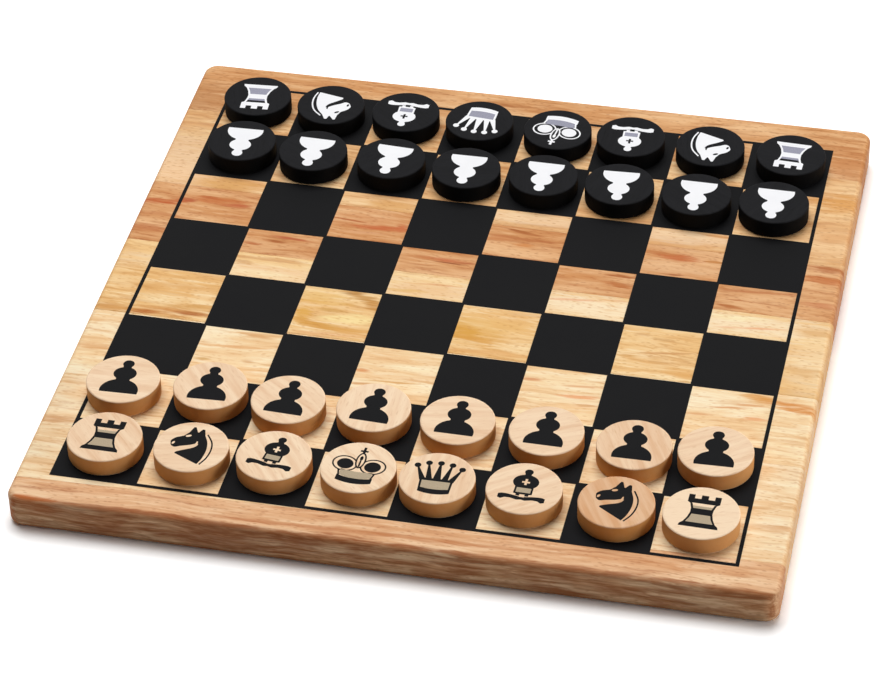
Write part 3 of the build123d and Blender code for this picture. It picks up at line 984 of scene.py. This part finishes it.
def queen_bars():
    """A crown of five spikes, each with a ball on its tip, over a light band and a curved foot."""
    spikes = (((3.9, 6.8), (1.6, -0.6), (3.7, -0.6)), ((7.4, 5.2), (3.9, -0.6), (5.6, -1.8)))
    half = []
    for (x, y), left, right in spikes:
        half.append(bar(INK, 0, *between([left, (x - 0.25, y)], [right, (x + 0.25, y)], 4)))
        half.append(bar(INK, 2, *oval(x, y, 1.1, 1.1)))
    x = np.linspace(-5.2, 5.2, 24)
    body = (np.column_stack([x, -8.0 + 0.033 * x**2]), np.column_stack([x * 1.06, -0.5 + 0.0 * x]))
    band = (np.column_stack([x * 0.88, -5.7 + 0.02 * x**2]), np.column_stack([x * 0.9, -1.7 + 0 * x]))
    return mirrored(half) + [
        bar(INK, 0, *between([(-1.3, -0.6), (-0.25, 7.2)], [(1.3, -0.6), (0.25, 7.2)], 4)),
        bar(INK, 2, *oval(0, 7.2, 1.1, 1.1)),
        bar(INK, 1, *body),
        bar(LINES, 2, *band),
    ]


print("king and queen", len(king_bars()), len(queen_bars()))

# %% All figures
FIGURES = {
    "pawn": pawn_bars(),
    "rook": rook_bars(),
    "knight": knight_bars(),
    "bishop": bishop_bars(),
    "king": king_bars(),
    "queen": queen_bars(),
}
print("bars in each figure", {kind: len(bars) for kind, bars in FIGURES.items()})

# %% [markdown]
# ## The men
# A man is a profile carried round a circle: a flat underside, a broken lower edge, the wall, a broken upper
# edge and a flat top. The figure lies on it as a film of ink. Every man has a small turn of its own,
# because the men were set down by hand, and the dark men face the other player.

# %% Sizes and turns of the men
MAN_RADIUS = 12.5
MAN_HEIGHT = 6.5
MAN_EDGE = 0.45
MAN_SUPPORT = 0.2
INNER_RING = 6.0
SEGMENTS = 96
ROD_STEP = np.array([41.0, 17.0, 0.0])
PRINT_TURN = -0.5
TURNS = {
    "light_officers": (0, 0, -7, -2, 1, -1, -8, -1),
    "light_pawns": (2, 3, -2, -2, 0, 0, 1, 2),
    "dark_pawns": (182, 179, 177, 181, 180, 183, 180, 180),
    "dark_officers": (184, 193, 180, 175, 174, 181, 185, 178),
}
LIGHT_OFFICERS = ("rook", "knight", "bishop", "king", "queen", "bishop", "knight", "rook")
DARK_OFFICERS = ("rook", "knight", "bishop", "queen", "king", "bishop", "knight", "rook")
PAWNS = ("pawn",) * 8
TONES = {
    "light_knight_g": 0.62,
    "light_rook_h": -0.3,
    "light_pawn_g": 0.18,
    "light_rook_a": 0.12,
    "light_pawn_e": 0.1,
}
print("men with a tone of their own", len(TONES))


# %% A slice of rod and a loop of ink
def turned_slice(centre_x, centre_y, low):
    """The disc's points: each point of the profile (radius, height) carried round the middle."""
    turn = quarter(5)
    out = MAN_RADIUS - MAN_EDGE * (1 - np.sin(turn))
    up = MAN_EDGE * (1 - np.cos(turn))
    top = MAN_HEIGHT - DISC_SINK
    face = np.array([0, INNER_RING, out[0] - MAN_SUPPORT])
    wall = [MAN_EDGE + MAN_SUPPORT, top - MAN_EDGE - MAN_SUPPORT]
    radius = np.concatenate([face, out, [MAN_RADIUS] * 2, out[::-1], face[::-1]])
    height = np.concatenate([face * 0, up, wall, top - up[::-1], face * 0 + top])
    around = np.linspace(0, 2 * math.pi, SEGMENTS, endpoint=False)
    x = centre_x + radius[:, None] * np.cos(around)
    y = centre_y + radius[:, None] * np.sin(around)
    return np.stack([x, y, np.broadcast_to(low + height[:, None], x.shape)], axis=-1)


def bar_loops(left, right, top):
    """A bar of ink as loops of four points: left, right, right below and left below."""
    under = top - FILM
    rows = [np.column_stack([rail, np.full(len(rail), z)]) for rail, z in ((left, top), (right, top))]
    rows += [np.column_stack([rail, np.full(len(rail), under)]) for rail in (right, left)]
    return np.stack(rows, axis=1)


print("points on a disc", turned_slice(0, 0, 0)[..., 0].size)


# %% The place in the log, for the wood
def write_points(mesh, name, kind, values):
    """An attribute with a number, or with three, for each point."""
    field = "vector" if kind == "FLOAT_VECTOR" else "value"
    mesh.attributes.new(name, kind, "POINT").data.foreach_set(field, values.astype(np.float32).ravel())


def give_log(piece, number, centre, turn, tone):
    """Writes each point's place in the rod, in mm, the man's tone, and 1 on the sawn wall, for the wood."""
    mesh = piece.data
    points = np.empty(len(mesh.vertices) * 3, np.float32)
    mesh.vertices.foreach_get("co", points)
    points = points.reshape(-1, 3) / MM - centre
    spin = np.array([[math.cos(turn), -math.sin(turn), 0], [math.sin(turn), math.cos(turn), 0], [0, 0, 1]])
    write_points(mesh, "log", "FLOAT_VECTOR", points @ spin.T + number * ROD_STEP)
    write_points(mesh, "tone", "FLOAT", np.full(len(points), tone))
    write_points(mesh, "wall", "FLOAT", np.hypot(*points[:, :2].T) > MAN_RADIUS - MAN_EDGE / 20)


# %% One man
def make_man(number, name, kind, turn):
    """One man: the slice of rod, and the film of ink on it."""
    low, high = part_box(name)
    centre = np.array([(low.x + high.x) / 2, (low.y + high.y) / 2, low.z]) / MM
    light = name.startswith("light")
    disc = put_together(f"disc_{name}", [skin(turned_slice(*centre))])
    disc.data.materials.append(LIGHT_WOOD if light else DARK_WOOD)
    weld(disc.data)
    angle = math.radians(turn + PRINT_TURN)
    spin = np.array([[math.cos(angle), math.sin(angle)], [-math.sin(angle), math.cos(angle)]])
    patches, paints, flat = [], [], []
    for paint, layer, left, right in FIGURES[kind]:
        top = centre[2] + MAN_HEIGHT - DISC_SINK + (layer + 1) * FILM
        rails = [rail @ spin + centre[:2] for rail in (left, right)]
        patches.append(skin(bar_loops(*rails, top), caps=True))
        paints.append(paint)
        flat.append(bar_loops(left, right, 0).reshape(-1, 3)[:, :2])
    figure = put_together(f"figure_{name}", patches, paints)
    dark_paints = (WHITE_INK, HATCH_ON_DARK, DARK_WOOD)
    for material in (BLACK_INK, HATCH_ON_LIGHT, LIGHT_WOOD) if light else dark_paints:
        figure.data.materials.append(material)
    corners = np.empty(len(figure.data.loops), np.int32)
    figure.data.loops.foreach_get("vertex_index", corners)
    plan = figure.data.uv_layers.new(name="figure")
    plan.data.foreach_set("uv", np.concatenate(flat)[corners].astype(np.float32).ravel())
    chance = np.random.default_rng(number)
    tone = TONES.get(name, 0.0) + chance.uniform(-0.06, 0.1)
    grain_turn = chance.uniform(0, math.pi)
    for piece in (disc, figure):
        sharpen(piece.data, 60)
        give_log(piece, number, centre, grain_turn, tone)
        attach(piece, name)
    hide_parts(name)


# %% All men
ranks = (
    ("light", LIGHT_OFFICERS, "light_officers"),
    ("light", PAWNS, "light_pawns"),
    ("dark", PAWNS, "dark_pawns"),
    ("dark", DARK_OFFICERS, "dark_officers"),
)
for rank, (side, kinds, turns) in enumerate(ranks):
    for file, (kind, turn) in enumerate(zip(kinds, TURNS[turns])):
        make_man(rank * 8 + file, f"{side}_{kind}_{'abcdefgh'[file]}", kind, turn)

# %% [markdown]
# ## Floor and light
# The set stands on a plain white sweep under a large soft lamp, almost overhead and a little behind it, so
# the short shadows fall towards the viewer. The floor looks brighter to the camera than it lights the set:
# Light Path tells the two apart. That keeps the sweep white and the front of the board in shade.

# %% Floor
FLOOR_REACH = 4000
FLOOR_TONE, FLOOR_SEEN = 0.62, 1.4
FADE_START, FADE_END = 350, 900


def seen_directly(tree):
    """1 for a ray from the camera, off a gloss or through glass, and 0 for light on its way round."""
    path = add(tree, "LightPath").outputs
    seen = maths(tree, "MAXIMUM", path["Is Camera Ray"], path["Is Glossy Ray"])
    return maths(tree, "MAXIMUM", seen, path["Is Transmission Ray"])


def white_floor():
    """Matt card: a plain grey that lights the set, and white where the camera or a gloss sees it.

    Far from the set the lamps hardly reach, so there the seen white is the card's own.
    """
    made, tree = new_material("card_white_matt")
    seen = seen_directly(tree)
    shades = {0: seen, 6: (*(FLOOR_TONE,) * 3, 1.0), 7: (*(FLOOR_SEEN,) * 3, 1.0)}
    shade = add(tree, "Mix", shades, data_type="RGBA", clamp_result=False).outputs[2]
    card = add(tree, "BsdfDiffuse", {"Color": shade})
    place = add(tree, "TexCoord").outputs["Object"]
    away = vectors(tree, "LENGTH", place)["Value"]
    fade = ramp(tree, away, FADE_START * MM, FADE_END * MM, interpolation_type="SMOOTHSTEP")
    own = maths(tree, "MULTIPLY", fade, seen)
    white = add(tree, "Emission", {"Color": (1, 1, 1, 1), "Strength": 1.0})
    return finished(made, add(tree, "MixShader", {0: own, 1: card.outputs[0], 2: white.outputs[0]}))


floor_line = np.linspace(-FLOOR_REACH, FLOOR_REACH, 9)
sheet_x, sheet_y = np.meshgrid(floor_line, floor_line)
sheet = np.stack([sheet_x, sheet_y, np.zeros_like(sheet_x)], axis=-1)
floor = put_together("floor", [skin(sheet, closed=False)])
floor.data.materials.append(white_floor())
print("floor in mm", 2 * FLOOR_REACH)

# %% Sky
AMBIENT = 0.04

world = bpy.data.worlds.new("studio")
world.use_nodes = True
scene.world = world
sky = world.node_tree
sky.nodes.clear()
strength = ramp(sky, seen_directly(sky), 0.0, 1.0, start=AMBIENT)
air = add(sky, "Background", {"Color": (1, 1, 1, 1), "Strength": strength})
sky.links.new(air.outputs[0], add(sky, "OutputWorld").inputs["Surface"])
print("light from the sky", AMBIENT)

# %% Lamps
LAMPS = (
    ("lamp_key", (-290, 870, 2320), 2000, 1700, 67),
    ("lamp_side", (2300, -300, 500), 900, 900, 25),
)


def soft_lamp(name, place, width, depth, power):
    """A studio lamp with a flat screen, in mm and watts, turned to the middle of the board."""
    data = bpy.data.lights.new(name, "AREA")
    data.shape, data.size, data.size_y, data.energy = "RECTANGLE", width * MM, depth * MM, power
    lamp = bpy.data.objects.new(name, data)
    lamp.location = [value * MM for value in place]
    lamp.rotation_euler = (-lamp.location).to_track_quat("-Z", "Y").to_euler()
    scene.collection.objects.link(lamp)


for lamp_sheet in LAMPS:
    soft_lamp(*lamp_sheet)
scene.view_settings.view_transform = "Standard"
print("lamps", len(LAMPS))
